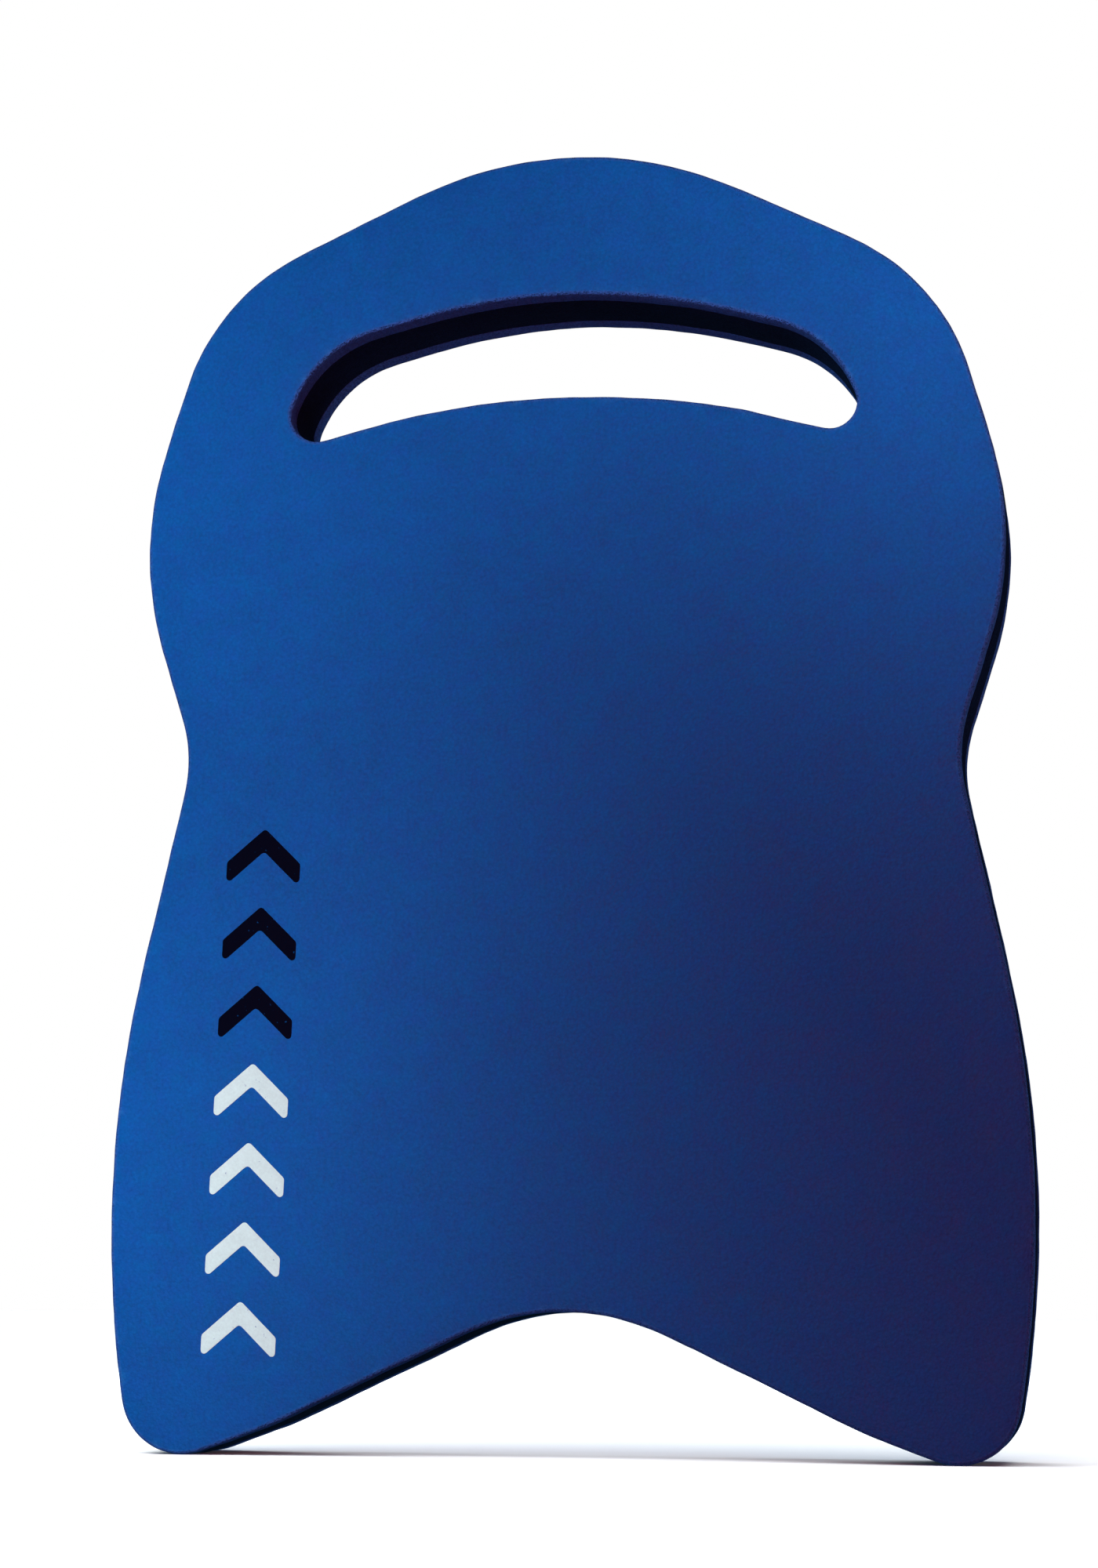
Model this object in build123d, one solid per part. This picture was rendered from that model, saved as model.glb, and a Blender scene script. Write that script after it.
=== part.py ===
from build123d import *
import os

# Kickboard float: a flat swimming board laminated from three sheets of closed-cell foam, cut to shape
# right through, with a hand slot near the nose and a column of chevrons printed on the front.
#
# Frame, in millimetres: X across the board, Y through its thickness with the printed front towards -Y,
# Z from the tail up to the nose. The origin is under the middle of the board, level with its two tail lobes.

# ---- driving dimensions ----
FACE_SHEET = 11.0      # thickness of the coloured foam sheet on each face
CORE_SHEET = 28.0      # thickness of the black foam sheet between them
EDGE_SOFTENING = 1.5   # radius on the rims of the two faces
PRINT_DEPTH = 0.3      # thickness of the printed film, which is pressed in flush with the front

THICKNESS = CORE_SHEET + 2 * FACE_SHEET
FRONT = -THICKNESS / 2
BACK = THICKNESS / 2

# Right half of the board's outline, from nose to tail: x, z and the radius that rounds that corner.
BOARD_HALF = [
    (0.0, 464.0, 131.0),    # crown of the nose
    (127.5, 403.5, 76.0),   # corner of the nose
    (155.0, 312.0, 118.0),  # shoulder
    (132.0, 239.5, 50.0),   # waist
    (164.0, 96.0, 390.0),   # hip
    (148.5, -7.6, 21.0),    # tip of the tail lobe
    (101.0, 10.0, 90.0),    # underside of the tail lobe
    (0.0, 58.0, 81.0),      # notch in the tail
]

# Right half of the hand slot's outline, a crescent that arches towards the nose.
SLOT_HALF = [
    (0.0, 408.0, 212.0),    # top of the arch
    (90.0, 384.0, 41.0),    # shoulder of the crescent
    (106.0, 346.0, 9.5),    # bottom corner of the crescent
    (60.0, 358.0, 66.0),    # where the lower edge starts to drop
    (0.0, 369.0, 290.0),    # middle of the lower edge
]

# The print is a straight column of chevrons that point at the nose, leaning with the board's side.
CHEVRON_WIDTH = 26.0
CHEVRON_RISE = 12.0     # how far the point stands above the ends
CHEVRON_STROKE = 8.0    # height of the band, measured along the column
CHEVRON_CORNER = 1.2
CHEVRON_PITCH = 27.0
LIGHT_CHEVRONS = 4      # lower part of the column
DARK_CHEVRONS = 3       # upper part of the column
COLUMN_FOOT = (-111.5, 42.0)  # x and z of the lowest chevron's centre
COLUMN_LEAN = 2.0             # degrees that the column leans inwards towards the nose


def mirrored_face(half):
    """A face from the right half of a symmetrical outline, with every corner rounded by its own radius."""
    left = [(-x, z, radius) for x, z, radius in reversed(half[1:-1])]
    corners = half + left
    points = [(x, z) for x, z, _ in corners]
    radii = [radius for _, _, radius in corners]
    return make_face(FilletPolyline(*points, radius=radii, close=True))


def board_face():
    """The board's outline with the hand slot cut out, standing with the tips of its tail at height 0."""
    outline = mirrored_face(BOARD_HALF)
    level = Pos(0, -outline.bounding_box().min.Y)
    return level * outline - level * mirrored_face(SLOT_HALF)


def upright(face, y, thickness):
    """A solid from a flat face stood up in the XZ plane, reaching from depth y towards the back."""
    standing = Plane(origin=(0, y, 0), x_dir=(1, 0, 0), z_dir=(0, -1, 0)) * face
    return extrude(standing, amount=thickness, dir=(0, 1, 0))


def rim_edges(sheet, y):
    """The edges of a sheet that lie in the plane at depth y."""
    return sheet.edges().filter_by_position(Axis.Y, y - 0.01, y + 0.01)


def chevron(index):
    """Outline of one chevron of the column, counted from the tail."""
    half = CHEVRON_WIDTH / 2
    low = -(CHEVRON_RISE + CHEVRON_STROKE) / 2
    points = [
        (-half, low),
        (0, low + CHEVRON_RISE),
        (half, low),
        (half, low + CHEVRON_STROKE),
        (0, low + CHEVRON_RISE + CHEVRON_STROKE),
        (-half, low + CHEVRON_STROKE),
    ]
    shape = make_face(FilletPolyline(*points, radius=CHEVRON_CORNER, close=True))
    column = Pos(*COLUMN_FOOT) * Rot(0, 0, -COLUMN_LEAN)
    return column * Pos(0, index * CHEVRON_PITCH) * shape


def print_film(index):
    """One chevron of printed film, flush with the board's front."""
    return upright(chevron(index), FRONT, PRINT_DEPTH)


board = board_face()
films = [print_film(index) for index in range(LIGHT_CHEVRONS + DARK_CHEVRONS)]

front_sheet = upright(board, FRONT, FACE_SHEET)
front_sheet = fillet(rim_edges(front_sheet, FRONT), EDGE_SOFTENING)
for film in films:
    front_sheet -= film

core_sheet = upright(board, FRONT + FACE_SHEET, CORE_SHEET)

back_sheet = upright(board, BACK - FACE_SHEET, FACE_SHEET)
back_sheet = fillet(rim_edges(back_sheet, BACK), EDGE_SOFTENING)

nodes = {
    "front_foam_sheet": front_sheet,
    "core_foam_sheet": core_sheet,
    "back_foam_sheet": back_sheet,
}
for index, film in enumerate(films):
    if index < LIGHT_CHEVRONS:
        nodes[f"print_light_{index + 1}"] = film
    else:
        nodes[f"print_dark_{index - LIGHT_CHEVRONS + 1}"] = film

os.makedirs("parts", exist_ok=True)
for name, solid in nodes.items():
    export_step(solid, f"parts/{name}.step")
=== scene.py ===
import math

import bpy
import numpy as np
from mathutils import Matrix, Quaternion, Vector, geometry, noise
from mathutils.kdtree import KDTree


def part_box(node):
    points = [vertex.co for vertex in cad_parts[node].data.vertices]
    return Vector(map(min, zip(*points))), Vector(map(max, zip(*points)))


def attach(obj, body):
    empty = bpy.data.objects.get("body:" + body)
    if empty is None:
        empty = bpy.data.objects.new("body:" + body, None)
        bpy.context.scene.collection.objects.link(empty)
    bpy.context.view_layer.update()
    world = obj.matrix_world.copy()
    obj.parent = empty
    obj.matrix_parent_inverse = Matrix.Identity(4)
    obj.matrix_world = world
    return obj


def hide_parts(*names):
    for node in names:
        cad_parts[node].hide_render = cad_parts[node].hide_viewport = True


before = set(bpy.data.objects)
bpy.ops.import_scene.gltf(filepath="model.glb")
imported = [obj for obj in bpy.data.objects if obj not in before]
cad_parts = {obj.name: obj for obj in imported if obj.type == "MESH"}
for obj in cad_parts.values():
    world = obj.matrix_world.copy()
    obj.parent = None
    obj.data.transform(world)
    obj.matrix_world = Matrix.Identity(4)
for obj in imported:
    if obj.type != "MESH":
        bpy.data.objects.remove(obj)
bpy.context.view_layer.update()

# A kickboard float, standing on its tail with its printed front towards -Y. Three sheets of closed-cell
# foam are bonded face to face and cut to one outline, and the front carries seven patches of printed film.
# Every outline is read from the CAD nodes. Lengths are in metres.

MM = 0.001
NOISE_SEED = 1
noise.seed_set(NOISE_SEED)   # without it, noise_vector starts from the clock, and each run differs

# ---- reading the CAD nodes ----
FLAT_TOLERANCE = 0.001 * MM
PLACE_DIGITS = 6             # places are compared to the nearest micrometre
FACET_BLUR = 0.55            # share of a CAD facet's length over which its corner is smoothed
MOST_BLUR = 8.0 * MM

# ---- mesh spacing ----
ALONG_STEP = 1.5 * MM        # round the outline and the slot
WALL_STEP = 1.3 * MM         # across a cut edge
FACE_STEP = 5.0 * MM         # over a face
FILM_STEP = 0.6 * MM         # round a printed patch
FILM_FACE_STEP = 1.6 * MM    # over a printed patch
GRID_SHIFT = 0.3             # share of a grid's step by which its points are out of place
GRID_INSET = 7.0 * MM        # from a face's edges to the nearest point of its grid
FACE_CLEARANCE = 0.55        # share of a grid's step that it keeps clear of the rings of points
FILM_CLEARANCE = 0.5
FACE_GRID_SEED = 4.2
FILM_GRID_SEED = 9.1

# Rings of points on a face: how far in from an edge or a print's line in millimetres, and how many of
# that line's points there are to each point of the ring.
HIDDEN_RING = (1.2, 2)
EDGE_RINGS = ((1.2, 1), (2.8, 2), (5.0, 3))
PRINT_RINGS = ((0.7, 2), (0.0, 1), (-0.5, 1), (-1.1, 2), (-1.8, 2), (-3.0, 3))

# ---- shape of the foam ----
RIM_RADIUS = 1.5 * MM        # rounding between a face and the cut edge
RIM_ROWS = 6
SEAM_RADIUS = 0.3 * MM       # half the width of the crease between two sheets
SEAM_ROWS = 2
BULGE = 0.25 * MM            # how far a sheet's cut edge swells between its seams
EDGE_SINK = 0.4 * MM         # how far a face dips where the cutter pressed on it
EDGE_REACH = 7.0 * MM        # how far in from the edges that dip goes
FACE_WAVE = 0.35 * MM        # slow unevenness of a face
FACE_WAVE_SIZE = 0.09
FINE_WAVE = 0.25             # quicker unevenness of a face, as a share of the slow one
FINE_WAVE_SIZE = 0.022
CUT_WAVE = 0.22 * MM         # slow unevenness of a cut edge
CUT_WAVE_SIZE = 0.016
CUT_RIPPLE = 0.10 * MM       # small torn ripples on a cut edge
CUT_RIPPLE_SIZE = 0.0045
DENT_DEPTH = 0.5 * MM        # handling dents in the faces
DENT_SIZE = 0.03
DENT_START = 0.62            # height of the noise where a dent begins
DENT_SPAN = 0.4              # and how much higher it is where the dent is full
WEAR_DOWN_WALL = 2.5 * RIM_RADIUS
WEAR_OVER_FACE = 6.0 * RIM_RADIUS
FACE_WEAR = 0.5              # wear of a face just inside its rim
SEED_SHIFT = (7.31, 3.17, 5.53)
FRONT_SEED, CORE_SEED, BACK_SEED = 1.0, 11.0, 21.0

# ---- printed film ----
PRESS_DEPTH = 0.16 * MM      # how far the film was pressed into the face
PRESS_REACH = 1.6 * MM
FILM_PROUD = 0.07 * MM       # how far it stands above the pressed foam
FILM_BURIED = 0.25 * MM      # how far its underside lies below that foam
FILM_CORNER = 0.10 * MM

FRONT_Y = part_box("front_foam_sheet")[0].y
FRONT_SEAM_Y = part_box("core_foam_sheet")[0].y
BACK_SEAM_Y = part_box("core_foam_sheet")[1].y
BACK_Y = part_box("back_foam_sheet")[1].y


# ---------------------------------------------------------------- outlines from the CAD nodes

def signed_area(loop):
    """The area inside a loop of (x, z) points, above zero if it runs anticlockwise."""
    x, z = loop[:, 0], loop[:, 1]
    return 0.5 * float(np.sum(x * np.roll(z, -1) - np.roll(x, -1) * z))


def face_loops(node, y):
    """The closed loops of (x, z) points round a CAD node's flat face at depth y, largest first."""
    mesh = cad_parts[node].data
    mesh.calc_loop_triangles()
    flat = [abs(vertex.co.y - y) < FLAT_TOLERANCE for vertex in mesh.vertices]
    place = [
        (round(vertex.co.x, PLACE_DIGITS), round(vertex.co.z, PLACE_DIGITS))
        for vertex in mesh.vertices
    ]
    edges = set()
    for triangle in mesh.loop_triangles:
        a, b, c = triangle.vertices
        if flat[a] and flat[b] and flat[c]:
            edges.update([(place[a], place[b]), (place[b], place[c]), (place[c], place[a])])
    following = {a: b for a, b in edges if (b, a) not in edges}
    loops = []
    while following:
        start = min(following)
        loop = [start]
        point = following.pop(start)
        while point != start:
            loop.append(point)
            point = following.pop(point)
        loops.append(np.array(loop))
    return sorted(loops, key=lambda loop: -abs(signed_area(loop)))


def smooth_loop(loop, step, foam_inside):
    """Even points along a CAD loop with its facets smoothed away, running so that foam lies on the left."""
    sides = np.linalg.norm(np.roll(loop, -1, axis=0) - loop, axis=1)
    sizes = np.minimum(sides, np.minimum(np.roll(sides, 1), np.roll(sides, -1)))
    ends = np.concatenate([[0.0], np.cumsum(sides)])
    total = ends[-1]
    count = round(total / step)
    at = np.arange(count) * total / count
    closed = np.vstack([loop, loop[:1]])
    even = np.stack([np.interp(at, ends, closed[:, axis]) for axis in (0, 1)], axis=1)
    facet = sizes[np.clip(np.searchsorted(ends, at, side="right") - 1, 0, len(sizes) - 1)]
    blur = np.clip(FACET_BLUR * facet, step / 2, MOST_BLUR)
    gap = np.abs(at[:, None] - at[None, :])
    gap = np.minimum(gap, total - gap)
    weight = np.exp(-0.5 * (gap / blur[:, None]) ** 2)
    smooth = weight @ even / weight.sum(axis=1, keepdims=True)
    return smooth if (signed_area(smooth) > 0) == foam_inside else smooth[::-1]


def foam_side(loop):
    """Unit vectors from each point of a loop towards the foam on its left."""
    along = np.roll(loop, -1, axis=0) - np.roll(loop, 1, axis=0)
    along /= np.linalg.norm(along, axis=1, keepdims=True)
    return np.stack([-along[:, 1], along[:, 0]], axis=1)


def inside(points, loop):
    """Which points lie inside a loop."""
    found = np.zeros(len(points), bool)
    x, z = points[:, 0], points[:, 1]
    for (ax, az), (bx, bz) in zip(loop, np.roll(loop, -1, axis=0)):
        if az != bz:
            crosses = ((az > z) != (bz > z)) & (x < (bx - ax) * (z - az) / (bz - az) + ax)
            found ^= crosses
    return found


def distance(points, loops):
    """How far each point is from the nearest point of some loops."""
    marks = np.vstack(loops)
    tree = KDTree(len(marks))
    for index, (x, z) in enumerate(marks):
        tree.insert((x, 0.0, z), index)
    tree.balance()
    return np.array([tree.find((x, 0.0, z))[2] for x, z in points])


board_loop, slot_loop = face_loops("core_foam_sheet", FRONT_SEAM_Y)
OUTLINE = smooth_loop(board_loop, ALONG_STEP, foam_inside=True)
SLOT = smooth_loop(slot_loop, ALONG_STEP, foam_inside=False)
FILM_NODES = sorted(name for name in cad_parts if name.startswith("print_"))
FILMS = {
    name: smooth_loop(face_loops(name, FRONT_Y)[0], FILM_STEP, foam_inside=True)
    for name in FILM_NODES
}


# ---------------------------------------------------------------- uneven surfaces

def soft_noise(points, size, seed):
    """Soft noise, about -1 to 1, whose lumps are about size across."""
    shift = Vector([seed * step for step in SEED_SHIFT])
    return np.array([noise.noise(Vector(point) / size + shift) for point in points])


def smooth_step(value):
    """value kept between 0 and 1, with a smooth start and end."""
    value = np.clip(value, 0.0, 1.0)
    return value * value * (3.0 - 2.0 * value)


def pressed(points):
    """How far the printed film pulls the front down at each point, from 0 to 1."""
    depth = np.zeros(len(points))
    margin = 2 * PRESS_REACH
    for loop in FILMS.values():
        above = points > loop.min(axis=0) - margin
        below = points < loop.max(axis=0) + margin
        near = np.all(above & below, axis=1)
        if near.any():
            away = np.where(inside(points[near], loop), 0.0, distance(points[near], [loop]))
            depth[near] = np.maximum(depth[near], 1.0 - smooth_step(away / PRESS_REACH))
    return depth


def face_depth(points, seed, printed):
    """How far a face lies under its flat plane at each (x, z) point."""
    places = [(x, 0.0, z) for x, z in points]
    edge = distance(points, [OUTLINE, SLOT])
    depth = EDGE_SINK * np.clip(1.0 - edge / EDGE_REACH, 0.0, 1.0) ** 2
    depth += FACE_WAVE * (0.5 + 0.5 * soft_noise(places, FACE_WAVE_SIZE, seed))
    depth += FINE_WAVE * FACE_WAVE * (0.5 + 0.5 * soft_noise(places, FINE_WAVE_SIZE, seed + 1))
    lumps = soft_noise(places, DENT_SIZE, seed + 2)
    depth += DENT_DEPTH * smooth_step((lumps - DENT_START) / DENT_SPAN)
    if printed:
        depth += PRESS_DEPTH * pressed(points)
    return depth


# ---------------------------------------------------------------- meshes

def at_depth(flat, y):
    """Places at the (x, z) points of flat, at the depth or depths y."""
    return np.stack([flat[:, 0], np.broadcast_to(y, len(flat)), flat[:, 1]], axis=1)


def total_points(blocks):
    return sum(len(block) for block in blocks)


def triangles_between(rings, extra):
    """Triangles that fill the first ring, less any other ring inside it, using extra points."""
    # The rings are rounded as Vector rounds them, so that the inside tests see the same points.
    rings = [ring.astype(np.float32).astype(float) for ring in rings]
    points = np.vstack([*rings, extra])
    edges = []
    first = 0
    for ring in rings:
        count = len(ring)
        edges += [(first + k, first + (k + 1) % count) for k in range(count)]
        first += count
    spots = [Vector(point) for point in points]
    _, _, faces, origin, _, _ = geometry.delaunay_2d_cdt(spots, edges, [], 0, 0.0)
    faces = np.array([[origin[corner][0] for corner in face] for face in faces])
    middles = points[faces].mean(axis=1)
    keep = inside(middles, rings[0])
    for hole in rings[1:]:
        keep &= ~inside(middles, hole)
    return faces[keep]


def wall_faces(loops, row_count, front_first):
    """Quads that join each row of points to the next, round each loop."""
    per_row = total_points(loops)
    faces = []
    for row in range(row_count - 1):
        start = row * per_row
        for loop in loops:
            count = len(loop)
            for k in range(count):
                here, after = start + k, start + (k + 1) % count
                if front_first:
                    faces.append((after, here, here + per_row, after + per_row))
                else:
                    faces.append((here, after, after + per_row, here + per_row))
            start += count
    return faces


def cap_faces(rings, extra, first_ring, first_extra, facing):
    """Triangles over rings and extra points, facing -Y or +Y, numbered from first_ring and first_extra."""
    filled = triangles_between(rings, extra)
    ring_index = first_ring + np.arange(total_points(rings))
    extra_index = first_extra + np.arange(len(extra))
    corners = np.concatenate([ring_index, extra_index])[filled]
    return list(corners if facing == -1 else corners[:, ::-1])


def grid_points(step, low, high, seed):
    """A staggered grid of (x, z) points, each a little out of place."""
    points = []
    for row, z in enumerate(np.arange(low[1], high[1], step)):
        for x in np.arange(low[0] + (row % 2) * step / 2, high[0], step):
            shift = noise.noise_vector((x / step, seed, z / step))
            points.append((x + GRID_SHIFT * step * shift[0], z + GRID_SHIFT * step * shift[2]))
    return np.array(points)


def make_mesh(name, blocks, faces, cut, wear):
    """A smooth closed mesh that carries how far each vertex is cut foam and how worn it is."""
    vertices = [tuple(vertex) for vertex in np.vstack(blocks)]
    mesh = bpy.data.meshes.new(name)
    mesh.from_pydata(vertices, [], [tuple(map(int, face)) for face in faces])
    for label, values in (("cut", cut), ("wear", wear)):
        layer = mesh.attributes.new(label, "FLOAT", "POINT")
        layer.data.foreach_set("value", np.asarray(values, dtype=np.float32))
    mesh.shade_smooth()
    mesh.validate()
    piece = bpy.data.objects.new(name, mesh)
    bpy.context.scene.collection.objects.link(piece)
    return piece


# ---------------------------------------------------------------- a sheet of foam

def corner_rows(y, towards, radius, count):
    """Rows (inset, depth, wall) round a quarter circle from a flat face at y to the cut edge."""
    rows = []
    for k in range(count + 1):
        turn = 0.5 * math.pi * k / count
        inset = radius * (1.0 - math.sin(turn))
        rows.append((inset, y + towards * radius * (1.0 - math.cos(turn)), 1.0 - inset / radius))
    return rows


def sheet_rows(y0, radius0, count0, y1, radius1, count1):
    """Rows across a sheet's cut edge, from its face at y0 to its face at y1."""
    low, high = y0 + radius0, y1 - radius1
    count = round((high - low) / WALL_STEP)
    straight = [(0.0, low + (high - low) * k / count, 1.0) for k in range(1, count)]
    far = corner_rows(y1, -1, radius1, count1)[::-1]
    return corner_rows(y0, 1, radius0, count0) + straight + far


def hidden_points(rings):
    """A ring of points just inside the edges of a face that lies against another sheet."""
    inset, every = HIDDEN_RING
    return np.vstack([(ring + foam_side(ring) * inset * MM)[::every] for ring in rings])


def shown_points(rings, printed):
    """Points over a face: rings beside its edges, then a loose grid, with finer rings round the print."""
    sets = []
    for ring in rings:
        side = foam_side(ring)
        for inset, every in EDGE_RINGS:
            sets.append((ring + side * inset * MM)[::every])
    if printed:
        for loop in FILMS.values():
            side = foam_side(loop)
            for inset, every in PRINT_RINGS:
                sets.append((loop + side * inset * MM)[::every])
    placed = np.vstack(sets)
    low, high = OUTLINE.min(axis=0), OUTLINE.max(axis=0)
    grid = grid_points(FACE_STEP, low, high, FACE_GRID_SEED)
    in_foam = inside(grid, rings[0]) & ~inside(grid, rings[1])
    grid = grid[in_foam]
    grid = grid[distance(grid, rings) > GRID_INSET]
    grid = grid[distance(grid, [placed]) > FACE_CLEARANCE * FACE_STEP]
    return np.vstack([placed, grid])


def wall_points(loop, side, row, y_low, y_high, open_side, seed):
    """One row of points round a sheet's cut edge, which swells between the seams and ripples."""
    inset, y, wall = row
    flat = loop + side * inset
    spots = [(x, y, z) for x, z in flat]
    swell = math.sin(math.pi * (y - y_low) / (y_high - y_low))
    wave = CUT_WAVE * soft_noise(spots, CUT_WAVE_SIZE, seed)
    ripple = CUT_RIPPLE * soft_noise(spots, CUT_RIPPLE_SIZE, seed + 3)
    out = wall * (BULGE * (swell - 0.5) + (wave + ripple))
    moved = flat - side * out[:, None]
    dip = np.zeros(len(flat))
    if open_side:
        face_y = y_low if open_side == -1 else y_high
        fade = 1.0 - abs(y - face_y) / (y_high - y_low)
        dip = -open_side * fade * face_depth(flat, seed, printed=False)
    return at_depth(moved, y + dip)


def wall_wear(y, y_low, y_high, open_side):
    """Wear of the cut edge at depth y: full beside a face that shows, and none further down the wall."""
    if not open_side:
        return 0.0
    from_face = abs(y - (y_low if open_side == -1 else y_high))
    return max(0.0, 1.0 - from_face / WEAR_DOWN_WALL)


def foam_sheet(name, rows, open_side, seed):
    """One sheet of foam. open_side is -1 if its -Y face shows, 1 if its +Y face shows and 0 if neither."""
    loops = [OUTLINE, SLOT]
    sides = [foam_side(loop) for loop in loops]
    y_low, y_high = rows[0][1], rows[-1][1]
    blocks = []
    cut = []
    wear = []
    for row in rows:
        _, y, wall = row
        for loop, side in zip(loops, sides):
            blocks.append(wall_points(loop, side, row, y_low, y_high, open_side, seed))
            cut.append(np.full(len(loop), wall))
            wear.append(np.full(len(loop), wall_wear(y, y_low, y_high, open_side)))
    faces = wall_faces(loops, len(rows), front_first=True)

    for row, facing in ((0, -1), (len(rows) - 1, 1)):
        inset, y, _ = rows[row]
        rings = [loop + side * inset for loop, side in zip(loops, sides)]
        printed = facing == -1
        if open_side == facing:
            extra = shown_points(rings, printed)
            dip = face_depth(extra, seed, printed)
        else:
            extra = hidden_points(rings)
            dip = np.zeros(len(extra))
        faces += cap_faces(rings, extra, row * total_points(loops), total_points(blocks), facing)
        blocks.append(at_depth(extra, y - facing * dip))
        cut.append(np.zeros(len(extra)))
        wear.append(np.clip(FACE_WEAR - distance(extra, loops) / WEAR_OVER_FACE, 0.0, 1.0))
    return make_mesh(name, blocks, faces, np.concatenate(cut), np.concatenate(wear))


# ---------------------------------------------------------------- a patch of film

def film_rows():
    """Rows (inset, depth under the face) from a film's buried edge, over its corner, to its top."""
    return [
        (0.0, FILM_BURIED),
        (0.0, FILM_CORNER - FILM_PROUD),
        (0.3 * FILM_CORNER, 0.3 * FILM_CORNER - FILM_PROUD),
        (FILM_CORNER, -FILM_PROUD),
        (2.0 * FILM_CORNER, -FILM_PROUD),
        (4.0 * FILM_CORNER, -FILM_PROUD),
    ]


def film_patch(name, loop):
    """A patch of printed film, lying in the dip that it pressed into the front."""
    side = foam_side(loop)
    rows = film_rows()
    dip = face_depth(loop, FRONT_SEED, printed=True)
    blocks = [at_depth(loop + side * inset, FRONT_Y + dip + below) for inset, below in rows]
    faces = wall_faces([loop], len(rows), front_first=False)

    top = loop + side * rows[-1][0]
    grid = grid_points(FILM_FACE_STEP, loop.min(axis=0), loop.max(axis=0), FILM_GRID_SEED)
    grid = grid[inside(grid, top)]
    grid = grid[distance(grid, [top]) > FILM_CLEARANCE * FILM_FACE_STEP]
    grid_dip = face_depth(grid, FRONT_SEED, printed=True)
    last_row = (len(rows) - 1) * len(loop)
    for ring, first_ring, below, facing in ((top, last_row, -FILM_PROUD, -1), (loop, 0, FILM_BURIED, 1)):
        faces += cap_faces([ring], grid, first_ring, total_points(blocks), facing)
        blocks.append(at_depth(grid, FRONT_Y + grid_dip + below))
    nothing = np.zeros(total_points(blocks))
    return make_mesh(name, blocks, faces, cut=nothing, wear=nothing)


# ---------------------------------------------------------------- materials

# Sizes of the patterns, in metres.
CLOUD_SIZE = 0.10            # slow lighter and darker areas
MOTTLE_SIZE = 0.010          # blotches of the foam's skin
DRIFT_SIZE = 0.0045          # patches of the tinted colour
GRAIN_SIZE = 0.0013
SKIN_CELL_SIZE = 0.0010
OPEN_CELL_SIZE = 0.00065
LARGE_CELL_SIZE = 0.0017
SAW_MARK_SIZE = 0.0009
SCUFF_SIZE = 0.006
FLECK_SIZE = 0.004
FILM_MOTTLE_SIZE = 0.006
FILM_GRAIN_SIZE = 0.0010
FILM_CELL_SIZE = 0.0009
PINHOLE_SIZE = 0.0014

# Depths of the patterns, in metres.
FOAM_GRAIN_DEPTH = 0.00014
FOAM_MOTTLE_DEPTH = 0.0004
FILM_GRAIN_DEPTH = 0.00005

# Noise from 0 to 1 mostly lies in these spans.
WIDE = (0.25, 0.75)
NARROW = (0.3, 0.7)
WHOLE = (0.0, 1.0)

THROUGH_THE_SHEET = (1.0, 0.06, 1.0)   # scales that draw saw marks out along Y


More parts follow.
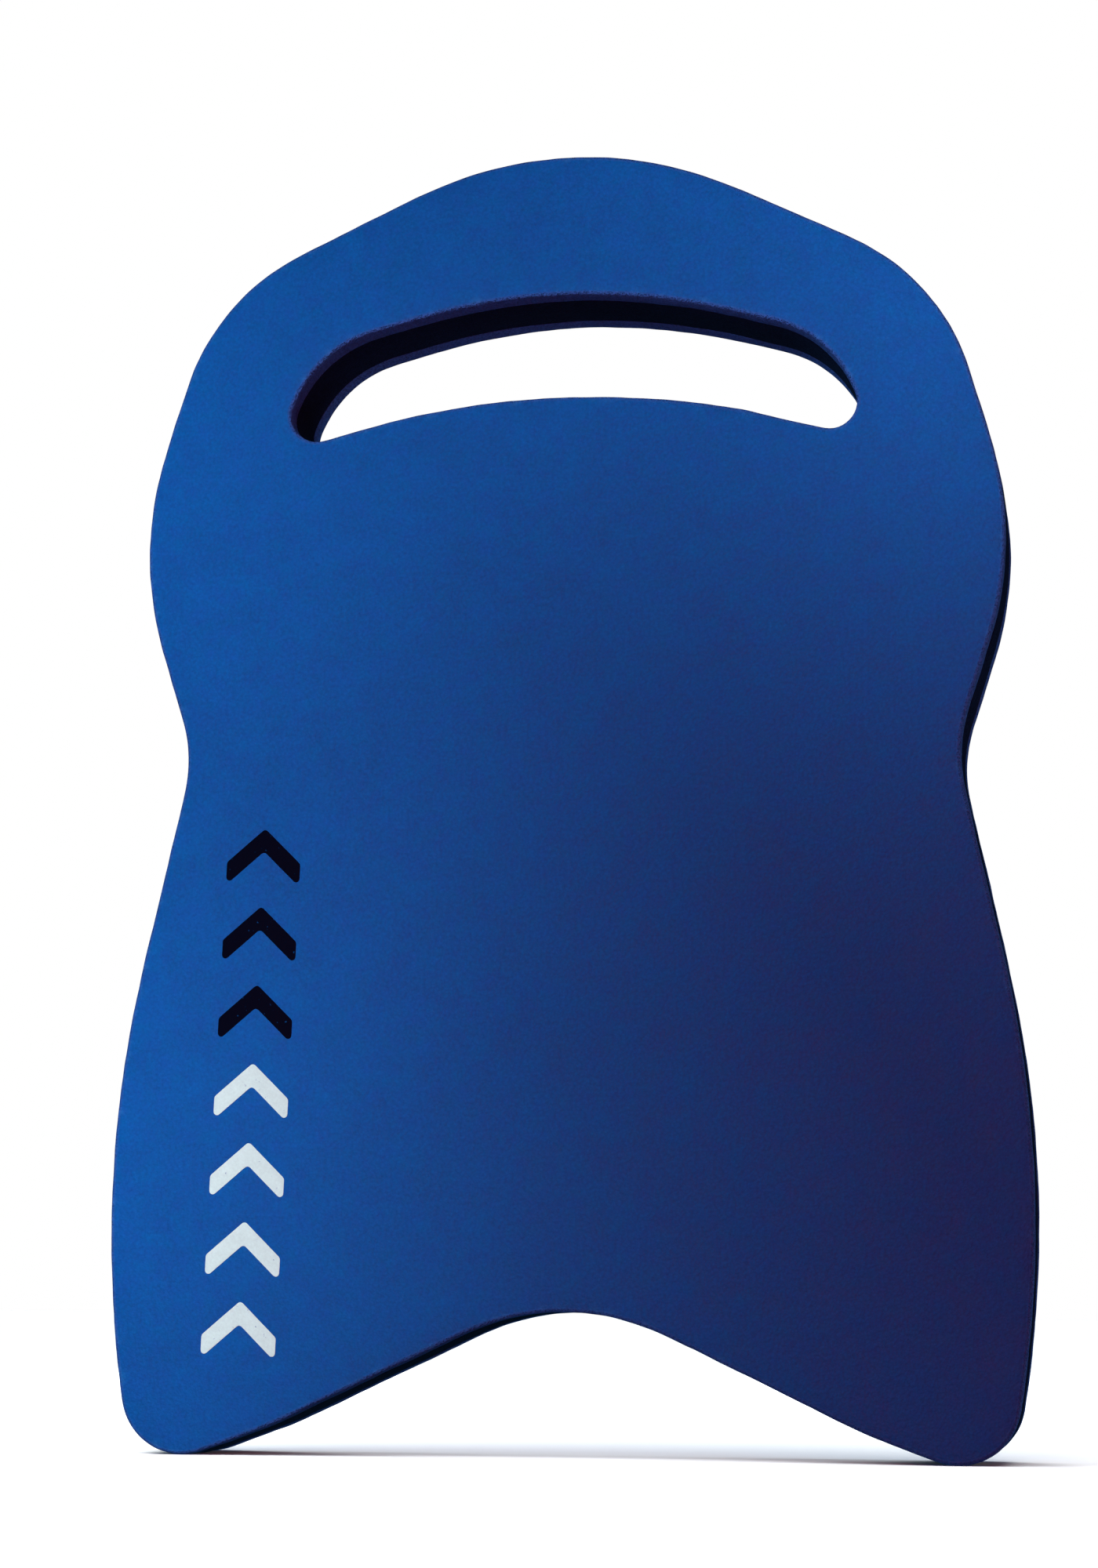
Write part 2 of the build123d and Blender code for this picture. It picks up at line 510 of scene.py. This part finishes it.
class Shader:
    """A material's nodes, with short calls to add them and join them."""

    def __init__(self, name):
        self.material = bpy.data.materials.new(name)
        self.material.use_nodes = True
        self.tree = self.material.node_tree
        self.tree.nodes.clear()
        self.where = self.add("ShaderNodeTexCoord").outputs["Object"]

    def add(self, kind, inputs=(), **settings):
        """A node of a kind. An input that is another node's socket is linked, and any other is set."""
        node = self.tree.nodes.new(kind)
        for key, value in settings.items():
            setattr(node, key, value)
        for key, value in dict(inputs).items():
            if isinstance(value, bpy.types.NodeSocket):
                self.tree.links.new(value, node.inputs[key])
            else:
                node.inputs[key].default_value = value
        return node

    def attribute(self, name):
        return self.add("ShaderNodeAttribute", attribute_name=name).outputs["Fac"]

    def noise(self, size, detail=2.0, roughness=0.5, scales=None):
        """Noise from 0 to 1 whose lumps are about size across, or longer along an axis scaled under 1."""
        where = self.where
        if scales:
            where = self.add("ShaderNodeMapping", {"Vector": where, "Scale": scales}).outputs["Vector"]
        inputs = {"Vector": where, "Scale": 1.0 / size, "Detail": detail, "Roughness": roughness}
        return self.add("ShaderNodeTexNoise", inputs).outputs["Fac"]

    def cells(self, size):
        """Distance from the middles of scattered cells that are about size across."""
        inputs = {"Vector": self.where, "Scale": 1.0 / size}
        return self.add("ShaderNodeTexVoronoi", inputs).outputs["Distance"]

    def plus(self, a, b):
        return self.add("ShaderNodeMath", {0: a, 1: b}, operation="ADD").outputs[0]

    def times(self, a, b):
        return self.add("ShaderNodeMath", {0: a, 1: b}, operation="MULTIPLY").outputs[0]

    def larger(self, a, b):
        return self.add("ShaderNodeMath", {0: a, 1: b}, operation="MAXIMUM").outputs[0]

    def spread(self, value, span, to=(0.0, 1.0)):
        """value mapped from one span to another, and kept inside it."""
        inputs = {
            "Value": value,
            "From Min": span[0],
            "From Max": span[1],
            "To Min": to[0],
            "To Max": to[1],
        }
        return self.add("ShaderNodeMapRange", inputs).outputs["Result"]

    def mix(self, factor, a, b):
        """Colour a where factor is 0 and colour b where it is 1."""
        node = self.add("ShaderNodeMix", {0: factor, 6: a, 7: b}, data_type="RGBA")
        return node.outputs[2]

    def tone(self, colour, factor):
        """colour made lighter or darker by factor."""
        colour = colour if isinstance(colour, bpy.types.NodeSocket) else colour[:3]
        inputs = {0: colour, "Scale": factor}
        return self.add("ShaderNodeVectorMath", inputs, operation="SCALE").outputs[0]

    def bump(self, height, depth, before=None):
        """Bumps that stand height times depth above the surface, on top of any bump before them."""
        inputs = {"Height": height, "Distance": depth, "Strength": 1.0}
        if before is not None:
            inputs["Normal"] = before
        return self.add("ShaderNodeBump", inputs).outputs["Normal"]

    def finish(self, colour, roughness, normal, specular):
        inputs = {
            "Base Color": colour,
            "Roughness": roughness,
            "Normal": normal,
            "Specular IOR Level": specular,
        }
        surface = self.add("ShaderNodeBsdfPrincipled", inputs).outputs["BSDF"]
        self.add("ShaderNodeOutputMaterial", {"Surface": surface})
        return self.material


def foam_skin(shader, colour, tinted, shade):
    """Colour and height of the skin: patches of two near colours under a fine grain of closed cells."""
    drift = shader.noise(DRIFT_SIZE, detail=3.0, roughness=0.6)
    grain = shader.noise(GRAIN_SIZE, roughness=0.7)
    cells = shader.cells(SKIN_CELL_SIZE)
    speckle = shader.plus(
        shader.spread(grain, WIDE, to=(-0.15, 0.15)),
        shader.spread(cells, (0.1, 0.7), to=(0.05, -0.06)),
    )
    hue = shader.mix(shader.spread(drift, NARROW), colour, tinted)
    height = shader.plus(shader.times(cells, 0.6), grain)
    return shader.tone(hue, shader.plus(shade, speckle)), height


def cut_foam(shader, colour, shade):
    """Colour and height of cut foam: open cells with painted shade darkening their hollow middles, and saw
    marks.
    """
    small = shader.spread(shader.cells(OPEN_CELL_SIZE), (0.1, 0.55))
    large = shader.spread(shader.cells(LARGE_CELL_SIZE), (0.05, 0.5), to=(0.35, 1.0))
    pores_and_shade = shader.times(small, large)
    marks = shader.noise(SAW_MARK_SIZE, scales=THROUGH_THE_SHEET)
    # The pores scale the colour down in each cell's middle: painted shade in the hollows of the open cells.
    pattern = shader.plus(
        shader.spread(pores_and_shade, WHOLE, to=(0.55, 1.12)),
        shader.spread(marks, NARROW, to=(-0.09, 0.09)),
    )
    height = shader.plus(shader.times(pores_and_shade, 1.6), marks)
    return shader.tone(colour, shader.times(pattern, shade)), height


def scuffs(shader, wear):
    """How far the foam is scuffed: patches where it is worn, and a few faint flecks everywhere."""
    patches = shader.spread(shader.noise(SCUFF_SIZE, detail=5.0, roughness=0.75), (0.52, 0.68))
    flecks = shader.spread(
        shader.noise(FLECK_SIZE, detail=3.0, roughness=0.6), (0.70, 0.78), to=(0.0, 0.35)
    )
    rubbed = shader.times(shader.times(patches, wear), 0.55)
    return shader.larger(rubbed, shader.times(flecks, 0.5))


def foam_material(name, colour, tinted, cut_colour, scuffed, specular):
    """Closed-cell foam: a finely grained skin on the faces and open cells where it was cut."""
    shader = Shader(name)
    cut = shader.attribute("cut")
    cloud = shader.noise(CLOUD_SIZE)
    mottle = shader.noise(MOTTLE_SIZE, detail=4.0, roughness=0.65)
    shade = shader.plus(
        shader.spread(cloud, NARROW, to=(0.955, 1.03)),
        shader.spread(mottle, WIDE, to=(-0.09, 0.09)),
    )
    skin, skin_height = foam_skin(shader, colour, tinted, shade)
    sawn, cut_height = cut_foam(shader, cut_colour, shade)
    clean = shader.mix(cut, skin, sawn)
    foam = shader.mix(scuffs(shader, shader.attribute("wear")), clean, scuffed)

    skin_roughness = shader.spread(mottle, WIDE, to=(0.60, 0.74))
    roughness = shader.larger(skin_roughness, shader.spread(cut, WHOLE, to=(0.5, 0.92)))

    skin_part = shader.times(skin_height, shader.spread(cut, WHOLE, to=(1.0, 0.0)))
    cut_part = shader.times(shader.times(cut_height, cut), 2.2)
    fine = shader.bump(shader.plus(skin_part, cut_part), FOAM_GRAIN_DEPTH)
    normal = shader.bump(mottle, FOAM_MOTTLE_DEPTH, before=fine)
    return shader.finish(foam, roughness, normal, specular)


def film_material(name, colour, foam_colour, specular):
    """Printed film on foam: satin, thin over the grain, with a few pinholes."""
    shader = Shader(name)
    mottle = shader.noise(FILM_MOTTLE_SIZE, detail=4.0, roughness=0.65)
    grain = shader.noise(FILM_GRAIN_SIZE, roughness=0.7)
    shade = shader.plus(
        shader.spread(mottle, WIDE, to=(0.94, 1.04)),
        shader.spread(grain, WIDE, to=(-0.05, 0.05)),
    )
    pinholes = shader.spread(shader.noise(PINHOLE_SIZE, roughness=0.6), (0.70, 0.76), to=(0.0, 0.6))
    ink = shader.mix(pinholes, shader.tone(colour, shade), foam_colour)
    roughness = shader.spread(mottle, WIDE, to=(0.42, 0.56))
    height = shader.plus(shader.times(shader.cells(FILM_CELL_SIZE), 0.6), grain)
    normal = shader.bump(height, FILM_GRAIN_DEPTH)
    return shader.finish(ink, roughness, normal, specular)


FOAM_BLUE = (0.0004, 0.092, 0.322, 1.0)
FOAM_BLUE_TINTED = (0.0030, 0.080, 0.328, 1.0)
FOAM_BLUE_CUT_SHADE_VIOLET = (0.0350, 0.092, 0.322, 1.0)      # the cut foam's extra red over its skin is painted shade, the violet tint that the cut walls take in shade
FOAM_BLUE_SCUFFED = (0.02, 0.15, 0.42, 1.0)
FOAM_BLACK = (0.0050, 0.0085, 0.0310, 1.0)
FOAM_BLACK_TINTED = (0.0058, 0.0080, 0.0330, 1.0)
FOAM_BLACK_SCUFFED = (0.015, 0.02, 0.03, 1.0)
FILM_WHITE = (0.592, 0.813, 0.763, 1.0)
FILM_BLACK = (0.0003, 0.0016, 0.0070, 1.0)

blue_foam = foam_material(
    "foam_blue", FOAM_BLUE, FOAM_BLUE_TINTED, FOAM_BLUE_CUT_SHADE_VIOLET, FOAM_BLUE_SCUFFED, specular=0.35
)
black_foam = foam_material(
    "foam_black", FOAM_BLACK, FOAM_BLACK_TINTED, FOAM_BLACK, FOAM_BLACK_SCUFFED, specular=0.08
)
white_film = film_material("print_light", FILM_WHITE, FOAM_BLUE, specular=0.4)
black_film = film_material("print_dark", FILM_BLACK, FOAM_BLUE, specular=0.08)


# ---------------------------------------------------------------- the board

def add_sheet(node, rows, open_side, seed, material):
    """A foam sheet in place of its CAD node."""
    piece = foam_sheet(node + "_foam", rows, open_side, seed)
    piece.data.materials.append(material)
    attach(piece, "root")
    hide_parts(node)


def add_film(node, loop):
    """A patch of printed film in place of its CAD node."""
    light = node.startswith("print_light")
    piece = film_patch(node + "_film", loop)
    piece.data.materials.append(white_film if light else black_film)
    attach(piece, "root")
    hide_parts(node)


rim = (RIM_RADIUS, RIM_ROWS)
seam = (SEAM_RADIUS, SEAM_ROWS)
front_rows = sheet_rows(FRONT_Y, *rim, FRONT_SEAM_Y, *seam)
core_rows = sheet_rows(FRONT_SEAM_Y, *seam, BACK_SEAM_Y, *seam)
back_rows = sheet_rows(BACK_SEAM_Y, *seam, BACK_Y, *rim)
add_sheet("front_foam_sheet", front_rows, -1, FRONT_SEED, blue_foam)
add_sheet("core_foam_sheet", core_rows, 0, CORE_SEED, black_foam)
add_sheet("back_foam_sheet", back_rows, 1, BACK_SEED, blue_foam)
for film_node, film_loop in FILMS.items():
    add_film(film_node, film_loop)


# ---------------------------------------------------------------- stage, lights and camera

FLOOR_SIZE = 60.0
FLOOR_TONES = (0.86, 0.88)
FLOOR_TONE_SIZE = 0.4
FLOOR_GRAIN_SIZE = 0.002
FLOOR_GRAIN_DEPTH = 0.00001

FLOOR_SUN = 4.2
SUN_WIDTH = 70               # in degrees, as are its tilts about X and Y
SUN_TILTS = (20, -10)

AMBIENT = (0.012, 0.101, 0.169, 1.0)   # the fill's colour, mostly blue
RIGHT_DARKER = 0.8           # how much of the fill is missing on the right
KEY_TINT = (0.873, 0.933, 1.0)
WHITE = (1.0, 1.0, 1.0)
RED = (1.0, 0.0, 0.0)

LENS = 88.8                  # millimetres
ROLL = 0.505                 # degrees
NEAREST, FURTHEST = 0.05, 50.0


def plain_floor():
    """A pale floor that takes the board's shadow and throws no light back on it."""
    half = FLOOR_SIZE / 2
    corners = [(-half, -half, 0), (half, -half, 0), (half, half, 0), (-half, half, 0)]
    mesh = bpy.data.meshes.new("stage_floor")
    mesh.from_pydata(corners, [], [(0, 1, 2, 3)])
    floor = bpy.data.objects.new("stage_floor", mesh)
    collection = bpy.data.collections.new("stage")
    bpy.context.scene.collection.children.link(collection)
    collection.objects.link(floor)
    shader = Shader("pale_floor")
    tint = shader.spread(shader.noise(FLOOR_TONE_SIZE), NARROW, to=FLOOR_TONES)
    colour = shader.tone(WHITE, tint)
    normal = shader.bump(shader.noise(FLOOR_GRAIN_SIZE), FLOOR_GRAIN_DEPTH)
    mesh.materials.append(shader.finish(colour, roughness=0.8, normal=normal, specular=0.2))
    floor.visible_diffuse = False
    floor.visible_glossy = False
    return collection


def ahead(x, away, z):
    """The place at x and z that lies away in front of the printed face."""
    return Vector((x, FRONT_Y - away, z))


def area_light(name, place, target, size, power, colour=WHITE, glossy=False):
    """A soft rectangular light that points from place to target. Only a glossy one shows in reflections."""
    data = bpy.data.lights.new(name, "AREA")
    data.shape = "RECTANGLE"
    data.size, data.size_y = size
    data.energy = power
    data.color = colour
    # A light that isn't reflected is sampled only directly, so it adds the same whatever else is lit.
    data.cycles.use_multiple_importance_sampling = glossy
    light = bpy.data.objects.new(name, data)
    light.location = place
    light.rotation_euler = (Vector(target) - Vector(place)).to_track_quat("-Z", "Y").to_euler()
    light.visible_camera = False
    light.visible_glossy = glossy
    bpy.context.scene.collection.objects.link(light)


def key_lights():
    """Three small lights close in front of the board, at its lower left, upper left and upper right."""
    area_light(
        "left_low",
        place=ahead(-0.175, 0.276, 0.034),
        target=ahead(-0.40, 0.0, -0.073),
        size=(0.249, 0.314),
        power=1.387,
        colour=KEY_TINT,
    )
    area_light(
        "left_high",
        place=ahead(-0.170, 0.234, 0.413),
        target=ahead(-0.222, 0.0, 0.242),
        size=(0.300, 0.030),
        power=0.681,
        colour=KEY_TINT,
    )
    area_light(
        "right_high",
        place=ahead(0.090, 0.204, 0.460),
        target=ahead(0.248, 0.0, 0.600),
        size=(0.034, 0.303),
        power=0.569,
        colour=KEY_TINT,
    )


def soft_lights():
    """A wide light behind the board, one beside it, and a red glow that turns its lower right violet."""
    area_light(
        "back_soft",
        place=(-0.7, 1.3, 0.9),
        target=(0.0, 0.02, 0.22),
        size=(0.9, 0.9),
        power=22.0,
    )
    area_light(
        "side_soft",
        place=(1.3, 0.28, 0.10),
        target=(0.16, 0.0, 0.20),
        size=(0.25, 0.6),
        power=5.5,
    )
    area_light(
        "red_card",
        place=ahead(0.22, 0.75, 0.05),
        target=ahead(0.08, 0.0, 0.12),
        size=(0.6, 0.6),
        power=4.2,
        colour=RED,
        glossy=True,
    )


def floor_sun(only):
    """A wide soft sun that reaches the floor alone, so that it is white up to the horizon."""
    data = bpy.data.lights.new("floor_sun", "SUN")
    data.energy = FLOOR_SUN
    data.angle = math.radians(SUN_WIDTH)
    light = bpy.data.objects.new("floor_sun", data)
    light.rotation_euler = (math.radians(SUN_TILTS[0]), math.radians(SUN_TILTS[1]), 0)
    light.light_linking.receiver_collection = only
    bpy.context.scene.collection.objects.link(light)


def studio_world():
    """White behind the board for the camera, and on everything else a dim fill that fades to the right."""
    world = bpy.data.worlds.new("studio")
    bpy.context.scene.world = world
    world.use_nodes = True
    tree = world.node_tree
    tree.nodes.clear()
    direction = tree.nodes.new("ShaderNodeTexCoord").outputs["Generated"]
    across = tree.nodes.new("ShaderNodeSeparateXYZ")
    tree.links.new(direction, across.inputs[0])
    strength = tree.nodes.new("ShaderNodeMath")
    strength.operation = "MULTIPLY_ADD"
    strength.inputs[1].default_value = -RIGHT_DARKER
    strength.inputs[2].default_value = 1.0
    tree.links.new(across.outputs["X"], strength.inputs[0])
    fill = tree.nodes.new("ShaderNodeBackground")
    fill.inputs["Color"].default_value = AMBIENT
    tree.links.new(strength.outputs[0], fill.inputs["Strength"])
    white = tree.nodes.new("ShaderNodeBackground")
    white.inputs["Color"].default_value = (*WHITE, 1.0)
    path = tree.nodes.new("ShaderNodeLightPath")
    mix = tree.nodes.new("ShaderNodeMixShader")
    output = tree.nodes.new("ShaderNodeOutputWorld")
    tree.links.new(path.outputs["Is Camera Ray"], mix.inputs["Fac"])
    tree.links.new(fill.outputs[0], mix.inputs[1])
    tree.links.new(white.outputs[0], mix.inputs[2])
    tree.links.new(mix.outputs[0], output.inputs["Surface"])


def main_camera():
    """Low and to the right of the board, looking slightly up at it."""
    data = bpy.data.cameras.new("camera")
    data.lens = LENS
    data.clip_start, data.clip_end = NEAREST, FURTHEST
    camera = bpy.data.objects.new("camera", data)
    place = ahead(0.201, 1.2955, 0.050)
    target = ahead(-0.0063, 0.0, 0.2282)
    camera.location = place
    roll = Quaternion((0, 0, 1), math.radians(ROLL))
    camera.rotation_mode = "QUATERNION"
    camera.rotation_quaternion = (target - place).to_track_quat("-Z", "Y") @ roll
    bpy.context.scene.collection.objects.link(camera)
    bpy.context.scene.camera = camera


stage_only = plain_floor()
studio_world()
key_lights()
soft_lights()
floor_sun(only=stage_only)
main_camera()
bpy.context.scene.view_settings.view_transform = "Standard"
